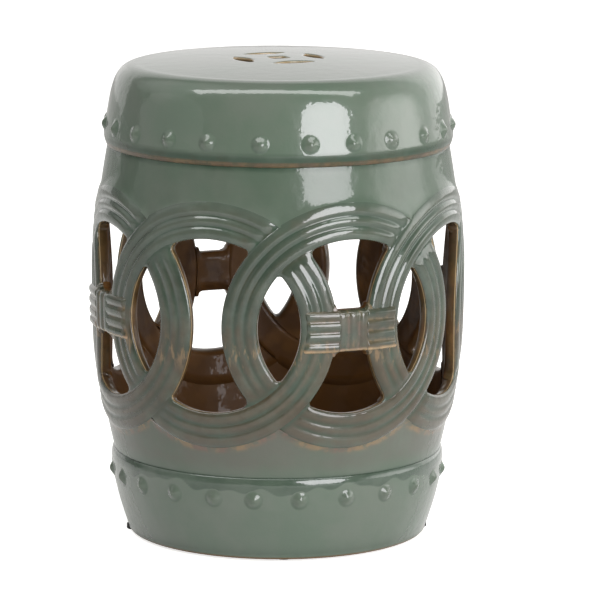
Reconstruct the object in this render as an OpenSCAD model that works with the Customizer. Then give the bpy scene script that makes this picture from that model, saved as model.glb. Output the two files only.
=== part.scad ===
// Pierced ceramic garden stool: a drum seat on a barrel of eight interlaced rings.
// Sizes are millimetres, +Z is up, the origin is the middle of the footprint on the floor.
// The front, -Y, faces the middle of ring_1.

/* [Overall] */
// Height from the floor to the crown of the seat
total_h = 438; // [425:0.5:450]
// Diameter over the ridges of the rings at the belly
belly_d = 343; // [338:0.5:348]
// Diameter of the seat at its rounded shoulder
seat_d = 292; // [286:0.5:298]
// Diameter of the foot at its lower edge
foot_d = 275; // [268:0.5:282]
// Thickness of the clay walls
wall = 10; // [8:0.25:12]
// Width of the luted joint between two clay pieces
joint_gap = 0.3; // [0.3:0.05:0.6]

/* [Barrel] */
// Height of the ledge on top of the foot band
ledge_z = 79.5; // [76:0.5:83]
// How far the widest part of the barrel lies above the middle of the rings
belly_up = 8.5; // [0:0.5:16]
// Width of the rounded ledge outside the barrel
ledge_w = 2.7; // [1.6:0.1:4]
// How far the barrel stands in from the skirt of the seat
neck_in = 3.3; // [2:0.1:5]
// Bevel round the upper edge of the barrel
neck_bevel = 1.2; // [0.6:0.1:2]

/* [Rings] */
// How far the middle of the rings lies below the middle of the barrel
ring_drop = 2; // [0:0.5:4]
// Height of the plain wall over and under the rings, on average
collar_h = 29; // [26:0.5:32]
// Width of a window at its narrowest, between the rings on its two sides
window_w = 29.4; // [26:0.2:32]
// Width of the strip
band_w = 33; // [30:0.5:35]
// How far the ridges stand out from the barrel
relief = 3.2; // [2.4:0.1:4]
// Depth of the grooves between the ridges
groove = 1.7; // [1:0.1:2.2]
// Width of the rounded margin beside the outer ridges
band_edge = 2.4; // [1.6:0.1:3.2]
// Radius of the clay fillet in the corners of the openings
corner_r = 7; // [4:0.5:9]

/* [Ties] */
// Height of a tie
tie_h = 37; // [32:0.5:42]
// How far a tie stands out from the ridges of the rings
tie_rise = 2.8; // [2:0.1:3.6]
// Depth of the grooves between the cords of a tie
tie_groove = 1.3; // [0.8:0.1:1.6]
// How far the middle of a tie lies below the middle of the rings
tie_drop = 2; // [0:0.5:4]

/* [Seat] */
// Height of the seat from the joint to the crown
seat_h = 78.5; // [76:0.5:82]
// How far the skirt stands out from the seat's diameter
skirt_out = 13.2; // [11:0.2:15]
// How far the skirt rolls in to its lip
lip_in = 2.8; // [1.6:0.1:4]
// Height of the roll above the lip
roll_h = 11; // [8:0.5:12]
// Height of the straight band that carries the studs
stud_band_h = 27; // [24:0.5:29]
// How far the stud band leans in over its height
stud_band_lean = 4.4; // [3:0.2:6]
// How far the rounding of the shoulder reaches in from the seat's diameter
shoulder_w = 18; // [14:0.5:22]
// Rise of the seat from the end of the shoulder to the crown
crown_rise = 5; // [3:0.5:7]
// Radius of the pierced coin motif
coin_r = 41; // [37:0.5:45]
// Length of a leaf between its points
leaf_l = 41; // [36:0.5:44]
// Width of a leaf at its middle
leaf_w = 14; // [11:0.5:16]
// Side of the square hole in the middle of the coin
coin_square = 16.5; // [13:0.5:18]

/* [Foot] */
// How far the band stands out from the lower edge of the foot
band_out = 15.4; // [13:0.2:17]
// Height of the straight part of the band that carries the studs
band_h = 21; // [19:0.5:23]
// How far that part of the band leans in towards the floor
band_lean = 2.6; // [1.6:0.2:3.6]
// Height of the rounding from the band up to the ledge
ledge_round = 8; // [6:0.25:9]
// Radius of the rounding along the lower edge of the foot
foot_round = 4; // [3:0.25:5]
// Width of the flat underside of the foot
foot_rim = 16; // [14:0.5:18]
// Diameter of a rubber pad
pad_d = 16; // [14:0.5:18]
// Thickness of a rubber pad
pad_t = 2; // [1.5:0.25:3]
// How far the pads on two sides stand out beyond the lower edge of the foot
pad_out = 1.5; // [0:0.25:2]
// How far the front and back pads are set in from that edge
pad_in = 9.5; // [8:0.25:11]

/* [Studs] */
// Diameter of a stud
stud_d = 13; // [11:0.5:14]
// How far a stud stands out
stud_rise = 3.75; // [3:0.25:4.5]
// Height of the middle of the upper studs above the roll of the skirt
upper_stud_up = 9.5; // [8.5:0.25:13]
// Distance of the middle of the lower studs below the ledge
lower_stud_down = 20; // [18:0.25:21]

/* [Hidden] */
ring_count = 8;
ridge_count = 3;
cord_count = 4;
stud_count = 24;
pad_count = 4;
pad_turn = 70;
right_angle = 90;
halvings = 22;
celadon = "#74857a";
iron_brown = "#4a3220";
rubber_black = "#161616";
$fn = 96;

RING_NAMES = [for (i = [1:ring_count]) str("ring_", i)];
TIE_NAMES = ["tie_front", "tie_right", "tie_back", "tie_left"];

// Derived sizes of the seat, the foot and the barrel between them
skirt_d = seat_d + 2 * skirt_out;
lip_d = skirt_d - 2 * lip_in;
neck_d = skirt_d - 2 * neck_in;
neck_z = total_h - seat_h;
band_d = foot_d + 2 * band_out;
waist_d = band_d - 2 * ledge_w;
belly_r = belly_d / 2;
core_r = belly_r - relief;

// Derived sizes of the rings: each reaches over its neighbours and leaves the windows their width
half_band = band_w / 2;
pitch = PI * belly_d / ring_count;
ring_rx = pitch - half_band - window_w / 2;
ring_rz = (neck_z - ledge_z) / 2 - collar_h - half_band;
ring_z = (neck_z + ledge_z) / 2 - ring_drop;
belly_z = ring_z + belly_up;
arc_len = PI * (ring_rx + ring_rz) / 2;
tie_z = ring_z - tie_drop;

// Radius of the plain barrel at height z: two parabolas that meet at the belly
function body_r(z) = z > belly_z
    ? core_r - (core_r - neck_d / 2) * pow((z - belly_z) / (neck_z - belly_z), 2)
    : core_r - (core_r - waist_d / 2) * pow((belly_z - z) / (belly_z - ledge_z), 2);

// Point at distance s round the belly from the front, at height z, standing out by h
function on_barrel(s, z, h) =
    let (turn = s / belly_r * 180 / PI, r = body_r(z) + h)
    [r * sin(turn), -r * cos(turn), z];

// A closed skin over a grid of points: rows run along the piece, each row is its section
function tube_faces(rows, cols, ring = false) = concat(
    [for (i = [0:rows - (ring ? 1 : 2)], j = [0:cols - 1])
        let (a = i * cols + j, b = i * cols + (j + 1) % cols, next = ((i + 1) % rows) * cols)
        each [[a, next + j, next + (j + 1) % cols], [a, next + (j + 1) % cols, b]]],
    ring ? [] : [for (j = [1:cols - 2]) [0, j, j + 1]],
    ring ? [] : [for (j = [1:cols - 2]) [0, j + 1, j] + (rows - 1) * cols * [1, 1, 1]]);

module skin(grid, ring = false) {
    polyhedron(points = [for (row = grid) each row],
        faces = tube_faces(len(grid), len(grid[0]), ring), convexity = 10);
}

// Angle along a ring's line at offset o where it meets its neighbour's line at offset edge
function beyond(a, o, edge) =
    pow(((ring_rx + o) * cos(a) - pitch) / (ring_rx + edge), 2)
    + pow((ring_rz + o) * sin(a) / (ring_rz + edge), 2) > 1;
function meet(o, edge, low = 0, high = right_angle, turns = halvings) =
    turns == 0 ? (low + high) / 2
    : let (mid = (low + high) / 2)
        beyond(mid, o, edge) ? meet(o, edge, low, mid, turns - 1) : meet(o, edge, mid, high, turns - 1);

// Extra width of a strip at distance d from its end, a quarter circle of the corner radius
function flare(d) = d >= corner_r ? 0 : corner_r - sqrt(corner_r * corner_r - pow(corner_r - d, 2));

// Stations along a strip as shares of its length, close together in the flared ends
flare_shares = [0, 0.15, 0.5, 1];
long_steps = 18;
flare_share = corner_r / arc_len;
station_shares = concat(
    [for (q = flare_shares) q * flare_share],
    [for (k = [1:long_steps - 1]) flare_share + (1 - 2 * flare_share) * k / long_steps],
    [for (k = [len(flare_shares) - 1:-1:0]) 1 - flare_shares[k] * flare_share]);

// Section of a strip: offset from its middle line, height over the barrel, edge that flares
ridge_w = (band_w - 2 * band_edge) / ridge_count;
crest_shares = [0.24, 0.76];
band_section = concat(
    [[-half_band, -wall, -1], [-half_band, 0, -1]],
    [for (k = [0:ridge_count - 1], c = [0:2])
        if (c < 2 || k < ridge_count - 1)
        let (u = -half_band + band_edge + (k + (c < 2 ? crest_shares[c] : 1)) * ridge_w)
        [u, c < 2 ? relief : relief - groove, 0]],
    [[half_band, 0, 1], [half_band, -wall, 1]]);

// The upper strip of a ring, unrolled: from under the right neighbour's outer edge, over the
// left neighbour and down inside it to that neighbour's inner edge
function strip_offset(p, t) =
    p[2] < 0 ? p[0] - flare(min(t, 1 - t) * arc_len)
    : p[2] > 0 ? p[0] + flare((1 - t) * arc_len)
    : p[0];
strip_plan = [for (t = station_shares) [for (p = band_section)
    let (o = strip_offset(p, t),
        start = meet(o, half_band + joint_gap),
        stop = 180 + meet(o, -half_band - joint_gap),
        a = start + (stop - start) * t)
    [(ring_rx + o) * cos(a), (ring_rz + o) * sin(a), p[1]]]];

// One ring: its upper strip and the same strip turned half round about the ring's middle
module ring(index) {
    color(celadon)
        for (side = [1, -1])
            skin([for (row = strip_plan) [for (p = row)
                on_barrel(index * pitch + side * p[0], ring_z + side * p[1], p[2])]]);
}

// Edge of a collar along the rings: angles from one cusp to the next, and its height there
scallop_steps = 12;
scallop_rx = ring_rx + half_band + joint_gap;
scallop_rz = ring_rz + half_band + joint_gap;
cusp = acos(pitch / 2 / scallop_rx);
scallop_plan = [for (i = [0:ring_count - 1], k = [0:scallop_steps - 1])
    let (a = 180 - cusp + (2 * cusp - 180) * k / scallop_steps)
    [i * pitch + scallop_rx * cos(a), scallop_rz * sin(a)]];

// Heights between two ends as shares of the way, on the outer face and on the inner face
outer_shares = [0, 0.33, 0.67];
inner_shares = [1, 0.5, 0];

module upper_collar() {
    top_z = neck_z - joint_gap / 2;
    color(celadon)
        skin([for (p = scallop_plan)
            let (low = ring_z + p[1])
            concat(
                [for (q = inner_shares) on_barrel(p[0], top_z + (low - top_z) * (1 - q), -wall)],
                [for (q = outer_shares) on_barrel(p[0], low + (top_z - neck_bevel - low) * q, 0)],
                [on_barrel(p[0], top_z - neck_bevel, 0), on_barrel(p[0], top_z, -neck_bevel)])], true);
}

module lower_collar() {
    low_z = ledge_z + joint_gap / 2;
    color(celadon)
        skin([for (p = scallop_plan)
            let (top = ring_z - p[1])
            concat(
                [for (q = inner_shares) on_barrel(p[0], low_z + (top - low_z) * q, -wall)],
                [for (q = outer_shares) on_barrel(p[0], low_z + (top - low_z) * q, 0)],
                [on_barrel(p[0], top, 0)])], true);
}

// Distance from the middle of a window at height z to the near and far edges of the strip beside it
function strip_near(z) = pitch - (ring_rx + half_band)
    * sqrt(1 - pow((z - ring_z) / (ring_rz + half_band), 2));
function strip_far(z) = pitch - (ring_rx - half_band)
    * sqrt(1 - pow((z - ring_z) / (ring_rz - half_band), 2));

// Profile of a row of cords laid side by side over a length: place along it and drop below the crest
cord_shares = [0.25, 0.75, 1];
function cords(length) = concat([[0, tie_groove]],
    [for (k = [0:cord_count - 1], c = [0:2])
        [(k + cord_shares[c]) * length / cord_count, c < 2 ? 0 : tie_groove]]);

// A wrap of level cords over the strip beside the window, on the left (-1) or the right (1)
wrap_steps = 4;
wrap_section = concat([[-tie_h / 2, relief + joint_gap], [tie_h / 2, relief + joint_gap]],
    [for (k = [len(cords(tie_h)) - 1:-1:0])
        let (c = cords(tie_h)[k])
        [c[0] - tie_h / 2, relief + tie_rise - c[1]]]);
function wrap_point(index, side, p, q) =
    let (z = tie_z + p[0], way = side > 0 ? q : 1 - q)
    on_barrel(index * pitch + side * (strip_near(z) + (strip_far(z) - strip_near(z)) * way), z, p[1]);
module tie_wrap(index, side) {
    skin([for (k = [0:wrap_steps]) [for (p = wrap_section) wrap_point(index, side, p, k / wrap_steps)]]);
}

// The bar across the window, with upright cords, as thick as the wall behind it
bar_steps = 4;
module tie_bar(index) {
    skin([for (k = [0:bar_steps])
        let (z = tie_z - tie_h / 2 + tie_h * k / bar_steps,
            half = strip_near(z) - joint_gap)
        concat([on_barrel(index * pitch + half, z, -wall), on_barrel(index * pitch - half, z, -wall)],
            [for (c = cords(2 * half))
                on_barrel(index * pitch - half + c[0], z, relief + tie_rise - c[1])])]);
}

module tie(index) {
    color(celadon) {
        tie_wrap(index, -1);
        tie_wrap(index, 1);
        tie_bar(index);
    }
}

// Outline of the seat: roll, stud band, shoulder curve and crown, from the lip to the axis
skirt_z = neck_z + roll_h;
shoulder_z = skirt_z + stud_band_h;
shoulder_r = skirt_d / 2 - stud_band_lean;
flat_r = seat_d / 2 - shoulder_w;
flat_z = total_h - crown_rise;
shoulder_h = flat_z - shoulder_z;
lip_z = neck_z + joint_gap / 2;
rise_share = 0.74;
reach_share = 0.6;
function bezier(p, t) = pow(1 - t, 3) * p[0] + 3 * pow(1 - t, 2) * t * p[1]
    + 3 * (1 - t) * t * t * p[2] + pow(t, 3) * p[3];
lean = stud_band_lean / stud_band_h;
shoulder_curve = [[shoulder_r, shoulder_z],
    [shoulder_r - lean * shoulder_h * rise_share, shoulder_z + shoulder_h * rise_share],
    [flat_r + (shoulder_r - flat_r) * reach_share, flat_z],
    [flat_r, flat_z]];
roll_steps = 6;
shoulder_steps = 12;
crown_steps = 8;
seat_outline = concat(
    [for (k = [0:roll_steps - 1])
        let (q = 1 - k / roll_steps)
        [skirt_d / 2 - (skirt_d - lip_d) / 2 * q * q, skirt_z - (skirt_z - lip_z) * q]],
    [[skirt_d / 2, skirt_z]],
    [for (k = [0:shoulder_steps]) bezier(shoulder_curve, k / shoulder_steps)],
    [for (k = [1:crown_steps])
        let (q = 1 - k / crown_steps)
        [flat_r * q, flat_z + crown_rise * (1 - q * q)]]);
// The hollow follows the outline one wall further in
inner_outline = concat(
    [[0, total_h - wall - crown_rise / 2], [flat_r - wall, flat_z - wall]],
    [for (k = [shoulder_steps:-4:0])
        let (p = bezier(shoulder_curve, k / shoulder_steps), q = k / shoulder_steps)
        if (k < shoulder_steps) [p[0] - wall, p[1] - wall * q]],
    [[lip_d / 2 - wall, skirt_z], [lip_d / 2 - wall, lip_z]]);

// The pierced coin: four leaves round a square, each leaf the overlap of two circles
leaf_in = coin_r - leaf_w;
leaf_chord = sqrt(coin_r * coin_r - leaf_l * leaf_l / 4);
leaf_sag = leaf_chord - leaf_in;
leaf_r = (leaf_l * leaf_l / 4 + leaf_sag * leaf_sag) / (2 * leaf_sag);
module coin() {
    for (k = [0:3])
        intersection() {
            circle(r = coin_r);
            rotate(90 * k) translate([leaf_in + leaf_r, 0]) circle(r = leaf_r);
        }
    square(coin_square, center = true);
}

module seat_cap() {
    color(celadon)
        difference() {
            rotate_extrude() polygon(concat(seat_outline, inner_outline));
            translate([0, 0, flat_z - 2 * wall]) linear_extrude(4 * wall) coin();
        }
}

// Outline of the foot band: ledge, stud band, taper and rounded lower edge
foot_z = pad_t;
band_z = ledge_z - ledge_round;
taper_z = band_z - band_h;
taper_r = band_d / 2 - band_lean;
round_steps = 5;
taper_steps = 5;
taper_bow_share = 0.02;
function quarter(rx, rz, k) = [rx * cos(90 * k / round_steps), rz * sin(90 * k / round_steps)];
foot_outline = concat(
    [for (k = [round_steps:-1:0])
        let (q = quarter(foot_round, foot_round, k))
        [foot_d / 2 - foot_round + q[0], foot_z + foot_round - q[1]]],
    [for (k = [1:taper_steps])
        let (t = k / taper_steps, rise = taper_z - foot_z - foot_round)
        [foot_d / 2 + (taper_r - foot_d / 2) * t + 4 * taper_bow_share * rise * t * (1 - t),
            foot_z + foot_round + rise * t]],
    [for (k = [0:round_steps])
        let (q = quarter(ledge_w, ledge_round, k))
        [waist_d / 2 + q[0], band_z + q[1]]],
    [[waist_d / 2 - wall, ledge_z], [taper_r - wall, taper_z], [foot_d / 2 - foot_round - foot_rim, foot_z]]);

module foot_ring() {
    color(celadon)
        rotate_extrude() polygon(foot_outline);
}

// A row of low domes, each square to the band that it sits on: r is the band's radius there
stud_ball_r = (stud_d * stud_d / 4 + stud_rise * stud_rise) / (2 * stud_rise);
module stud() {
    rotate_extrude()
        intersection() {
            translate([0, stud_rise - stud_ball_r]) circle(r = stud_ball_r);
            square([stud_d, stud_rise]);
        }
}

module stud_row(r, z, tilt) {
    color(celadon)
        for (k = [0:stud_count - 1])
            rotate(360 * k / stud_count) translate([r, 0, z]) rotate([0, 90 - tilt, 0]) stud();
}

module upper_studs() {
    stud_row(skirt_d / 2 - lean * upper_stud_up, skirt_z + upper_stud_up, atan(lean));
}

module lower_studs() {
    slope = band_lean / band_h;
    stud_row(band_d / 2 - slope * (lower_stud_down - ledge_round), ledge_z - lower_stud_down, -atan(slope));
}

// Pads in pairs across the foot: set in at the front and back, standing out at the sides
pad_outs = [-pad_in, pad_out];
module foot_pads() {
    color(rubber_black)
        for (k = [0:pad_count - 1])
            rotate(pad_turn + 360 * k / pad_count)
                translate([foot_d / 2 + pad_outs[k % 2] - pad_d / 2, 0, 0])
                    cylinder(h = pad_t, d = pad_d);
}

seat_cap();
upper_collar();
for (i = [0:ring_count - 1]) ring(i);
for (i = [0:len(TIE_NAMES) - 1]) tie(2 * i);
lower_collar();
foot_ring();
upper_studs();
lower_studs();
foot_pads();
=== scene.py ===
import math

import bmesh
import bpy
import numpy as np
from mathutils import Matrix, Vector
from mathutils.geometry import delaunay_2d_cdt


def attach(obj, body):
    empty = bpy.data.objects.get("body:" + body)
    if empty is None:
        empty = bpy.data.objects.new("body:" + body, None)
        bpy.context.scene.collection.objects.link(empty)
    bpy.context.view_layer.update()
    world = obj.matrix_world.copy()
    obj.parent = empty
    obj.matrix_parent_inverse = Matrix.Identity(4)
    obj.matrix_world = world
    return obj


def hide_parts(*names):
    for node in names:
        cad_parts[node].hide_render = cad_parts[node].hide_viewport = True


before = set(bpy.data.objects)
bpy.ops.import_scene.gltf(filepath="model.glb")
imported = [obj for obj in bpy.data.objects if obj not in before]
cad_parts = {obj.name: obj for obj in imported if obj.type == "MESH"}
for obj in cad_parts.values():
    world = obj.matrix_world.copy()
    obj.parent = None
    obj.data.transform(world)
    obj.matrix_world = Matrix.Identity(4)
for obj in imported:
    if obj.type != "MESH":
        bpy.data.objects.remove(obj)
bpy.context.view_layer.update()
print("frame loaded")

# Pierced celadon garden stool. Points are worked out in millimetres and put into the meshes in metres.
metresPerMm = 0.001


# Colour from a hex value: each sRGB channel is turned to linear light
def linearColour(hexValue):
    channels = [int(hexValue[k:k + 2], 16) / 255 for k in (1, 3, 5)]
    linear = [c / 12.92 if c <= 0.04045 else ((c + 0.055) / 1.055) ** 2.4 for c in channels]
    return (*linear, 1.0)


# Smooth step: 0 below low, 1 above high, a cubic ease between them
def smoothStep(low, high, x):
    t = np.clip((x - low) / (high - low), 0.0, 1.0)
    return t * t * (3.0 - 2.0 * t)


# Adds a node and gives back one of its outputs. Plain values go to its inputs in order, i6 and the like
# name an input by number, other lower-case names are settings, and the rest are inputs' names with _ for a
# space
def addNode(tree, kind, *ordered, output=0, **named):
    node = tree.nodes.new("ShaderNode" + kind)
    inputs = dict(enumerate(ordered))
    for name, value in named.items():
        if name[0] == "i" and name[1:].isdigit():
            inputs[int(name[1:])] = value
        elif name[0].islower():
            setattr(node, name, value)
        else:
            inputs[name.replace("_", " ")] = value
    for key, value in inputs.items():
        if isinstance(value, bpy.types.NodeSocket):
            tree.links.new(value, node.inputs[key])
        else:
            node.inputs[key].default_value = value
    return node.outputs[output] if node.outputs else None


# Faces of a grid of points: each quad joins a point to its next along the rows and columns
def gridFaces(rows, cols, closeRows, closeCols):
    i = np.arange(rows if closeRows else rows - 1)
    j = np.arange(cols if closeCols else cols - 1)
    i, j = [k.ravel() for k in np.meshgrid(i, j, indexing="ij")]
    nextI, nextJ = (i + 1) % rows, (j + 1) % cols
    return np.stack([i * cols + j, nextI * cols + j, nextI * cols + nextJ, i * cols + nextJ], 1)


# One closed sheet: a grid of points with its marks. Open ends of a closed section are fanned to their
# middle by triangles, which are quads with their last corner twice
def sheet(points, closeRows=False, closeCols=True, capEnds=False, **marks):
    rows, cols = points.shape[:2]
    verts = points.reshape(-1, 3)
    faces = gridFaces(rows, cols, closeRows, closeCols)
    values = {key: np.broadcast_to(value, (rows, cols)).reshape(-1).astype(float)
              for key, value in marks.items()}
    for row in (0, rows - 1) if capEnds else ():
        ring = row * cols + np.arange(cols)
        after = np.roll(ring, -1)
        middle = np.full(cols, len(verts))
        pair = [after, ring] if row == 0 else [ring, after]
        faces = np.vstack([faces, np.stack([*pair, middle, middle], 1)])
        verts = np.vstack([verts, verts[ring].mean(0)])
        values = {key: np.append(value, value[ring].mean()) for key, value in values.items()}
    return verts, faces, values


# Volume inside a closed sheet, from the tetrahedra that its faces make with the origin
def signedVolume(verts, faces):
    a, b, c, d = [verts[faces[:, k]] for k in range(4)]
    return (np.einsum("ij,ij->i", a, np.cross(b, c)) + np.einsum("ij,ij->i", a, np.cross(c, d))).sum() / 6


# Marks on the points tell the glaze where it pools, breaks over a rim, ends in a cream line, gives way to
# iron, is thin on a crest or all over, is browner, greyer or less glossy, and where it lies calm. The pool
# mark also paints shade: under the seat's skirt at the top of the upper collar, and on the skirt's roll
markNames = ("pool", "rim", "cream", "iron", "crest", "tone", "warm", "grey", "matt", "calm")


# Several sheets as one set of points, faces and marks: the corner numbers of each start after the last
# one's points
def joined(sheets):
    starts = np.cumsum([0] + [len(verts) for verts, faces, values in sheets])
    points = np.vstack([verts for verts, faces, values in sheets])
    quads = np.vstack([faces + start for (verts, faces, values), start in zip(sheets, starts)])
    marks = {key: np.concatenate([values.get(key, np.zeros(len(verts))) for verts, faces, values in sheets])
             for key in markNames}
    return points, quads, marks


# A piece from its sheets: faces are turned outwards, marks become point attributes, shading is smooth
def makePiece(name, sheets, material, nodes, autoTurn=True):
    if autoTurn:
        sheets = [(verts, faces[:, ::-1] if signedVolume(verts, faces) < 0 else faces, values)
                  for verts, faces, values in sheets]
    points, quads, marks = joined(sheets)
    headFlat = quads[:, 0] == quads[:, 1]   # a triangle that was turned has its first corner twice
    quads[headFlat] = quads[headFlat][:, [1, 2, 3, 3]]
    isTriangle = quads[:, 2] == quads[:, 3]
    corners = np.where(isTriangle, 3, 4)
    isUsed = np.ones(quads.shape, bool)
    isUsed[isTriangle, 3] = False
    loops = quads[isUsed]
    mesh = bpy.data.meshes.new(name)
    mesh.vertices.add(len(points))
    mesh.vertices.foreach_set("co", (points * metresPerMm).ravel().astype(np.float32))
    mesh.loops.add(len(loops))
    mesh.loops.foreach_set("vertex_index", loops.astype(np.int32))
    mesh.polygons.add(len(corners))
    mesh.polygons.foreach_set("loop_start", np.concatenate([[0], np.cumsum(corners)[:-1]]).astype(np.int32))
    mesh.update(calc_edges=True)
    mesh.validate()
    mesh.polygons.foreach_set("use_smooth", np.ones(len(mesh.polygons), bool))
    for key, value in marks.items():
        layer = mesh.attributes.new(key, "FLOAT", "POINT")
        layer.data.foreach_set("value", value.astype(np.float32))
    piece = bpy.data.objects.new(name, mesh)
    bpy.context.scene.collection.objects.link(piece)
    mesh.materials.append(material)
    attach(piece, "root")
    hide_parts(*nodes)
    print(name, len(mesh.polygons), "faces")
    return piece


# Stoneware with a poured celadon glaze over an iron-brown one, fired glossy. The grey-green glaze is thick
# and dark where it pools in grooves, thin and tan or pinkish where it breaks over edges, and the inside
# keeps the iron brown. The same dark pool colour is also painted as shade under the seat's skirt and on its
# roll. A thin clear layer gives the sharp reflections of glass.
glazeValues = {
    "colours": {
        "body": "#525f52",        # even coat on the plain walls
        "bodyGrey": "#585f55",    # greyer clouds in the coat
        "bodyDeep": "#49594a",    # greener clouds in the coat
        "thinTeal": "#2a362b",    # coat on the rings, deeper and bluer
        "thinBrown": "#3a3324",   # the same where the brown shows through
        "thinGrey": "#55544c",    # thin coat on the lower wall
        "pool": "#2b3d2f",        # thick glaze in the grooves, and painted shade under the seat's skirt and on its roll
        "olive": "#35301f",       # brown that shows in patches of the grooves
        "crest": "#414437",       # thin glaze on the ridges
        "crestLow": "#544839",    # the same lower down
        "breakTan": "#846a4a",    # glaze breaking over an edge, and its streaks
        "breakPink": "#6d5247",
        "cream": "#b8a078",       # bare line where the glaze ends
        "iron": "#4c3115",        # iron-brown glaze inside
        "ironLight": "#6b4820",
    },
    # noise patterns: size in mm, detail, roughness, where one starts to show and is full, and its least
    # share
    "patterns": {
        "cloud": (60.0, 3.0, 0.55, 0.35, 0.68, 0.0),
        "brownish": (34.0, 3.0, 0.5, 0.56, 0.80, 0.0),
        "patchy": (38.0, 4.0, 0.6, 0.28, 0.6, 0.5),
        "mottle": (9.0, 4.0, 0.6, 0.3, 0.7, 0.35),
        "thick": (22.0, 2.0, 0.5, 0.3, 0.7, 0.6),
        "showThrough": (30.0, 3.0, 0.5, 0.45, 0.62, 0.0),
        "worn": (9.0, 4.0, 0.6, 0.38, 0.58, 0.2),
        "pinkish": (26.0, 2.0, 0.5, 0.42, 0.58, 0.0),
        "streak": (6.0, 3.0, 0.6, 0.52, 0.66, 0.0),
        "ironCloud": (35.0, 3.0, 0.5, 0.4, 0.65, 0.0),
    },
    # shares that change between two heights in mm, and their values there: tan streaks lie at mid height,
    # where the upper coat ends, and the iron glaze is lighter low down
    "heights": {
        "streakStart": (172.0, 192.0, 0.0, 1.0),
        "streakEnd": (212.0, 196.0, 0.0, 1.0),
        "ironLow": (60.0, 210.0, 0.9, 0.0),
    },
    # layers: the name of the result, the colour below, the colour over it, and the shares that are
    # multiplied
    "layers": (
        ("wall", "bodyDeep", "bodyGrey", ("cloud",)),
        ("wall", "wall", "body", (0.45,)),
        ("thin", "thinTeal", "thinBrown", ("brownish",)),
        ("thin", "thin", "thinGrey", ("grey",)),
        ("coat", "wall", "thin", ("tone", "patchy")),
        ("ridge", "crest", "crestLow", ("warm",)),
        ("coat", "coat", "ridge", ("crest", "mottle", 0.6)),
        ("coat", "coat", "pool", ("pool", "thick")),
        ("coat", "coat", "olive", ("pool", "thick", "showThrough", "tone", 0.7)),
        ("edge", "breakTan", "breakPink", ("pinkish",)),
        ("coat", "coat", "edge", ("rim", "worn")),
        ("coat", "coat", "cream", ("cream",)),
        ("coat", "coat", "breakTan", ("streak", "streakStart", "streakEnd", "tone", 0.5)),
        ("inside", "iron", "ironLight", ("ironShare",)),
        ("coat", "coat", "inside", ("iron",)),
    ),
    "warmth": 0.32,            # how far the warm mark helps the brown to show
    "streakSquash": 0.3,       # width of a streak over its length
    # waves in the surface: size in mm, detail, height, and the mark that they follow
    "waves": (
        (17.0, 1.0, 0.42, None),     # long ones bend the reflections
        (5.0, 1.0, 0.12, None),      # shorter ones ruffle their outlines
        (1.6, 2.0, 0.012, None),     # fine orange peel, drawn coarser than life so that it shows
        (11.0, 1.0, 0.25, "iron"),   # the brown glaze inside lies less evenly
    ),
    "waveMm": 1.0,             # what a height of 1 stands for
    "calmShare": 0.4,          # how much of the waves is left on the top of the seat
    "roughness": (0.22, 0.45),   # of the celadon and of the satin iron glaze, under the clear layer
    "ironDull": 0.82,          # how much of the clear layer the inside lacks
    "mattDull": 0.5,           # the same for the thinner coat on the barrel
    "clearRoughness": 0.03,
    "underLevel": 0.25,        # weaker reflection under the clear layer
    "ior": 1.5,
}


# An empty material, its node tree and the place of each point in Object coordinates
def emptyMaterial(name):
    material = bpy.data.materials.new(name)
    material.use_nodes = True
    tree = material.node_tree
    tree.nodes.clear()
    return material, tree, addNode(tree, "TexCoord", output="Object")


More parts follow.
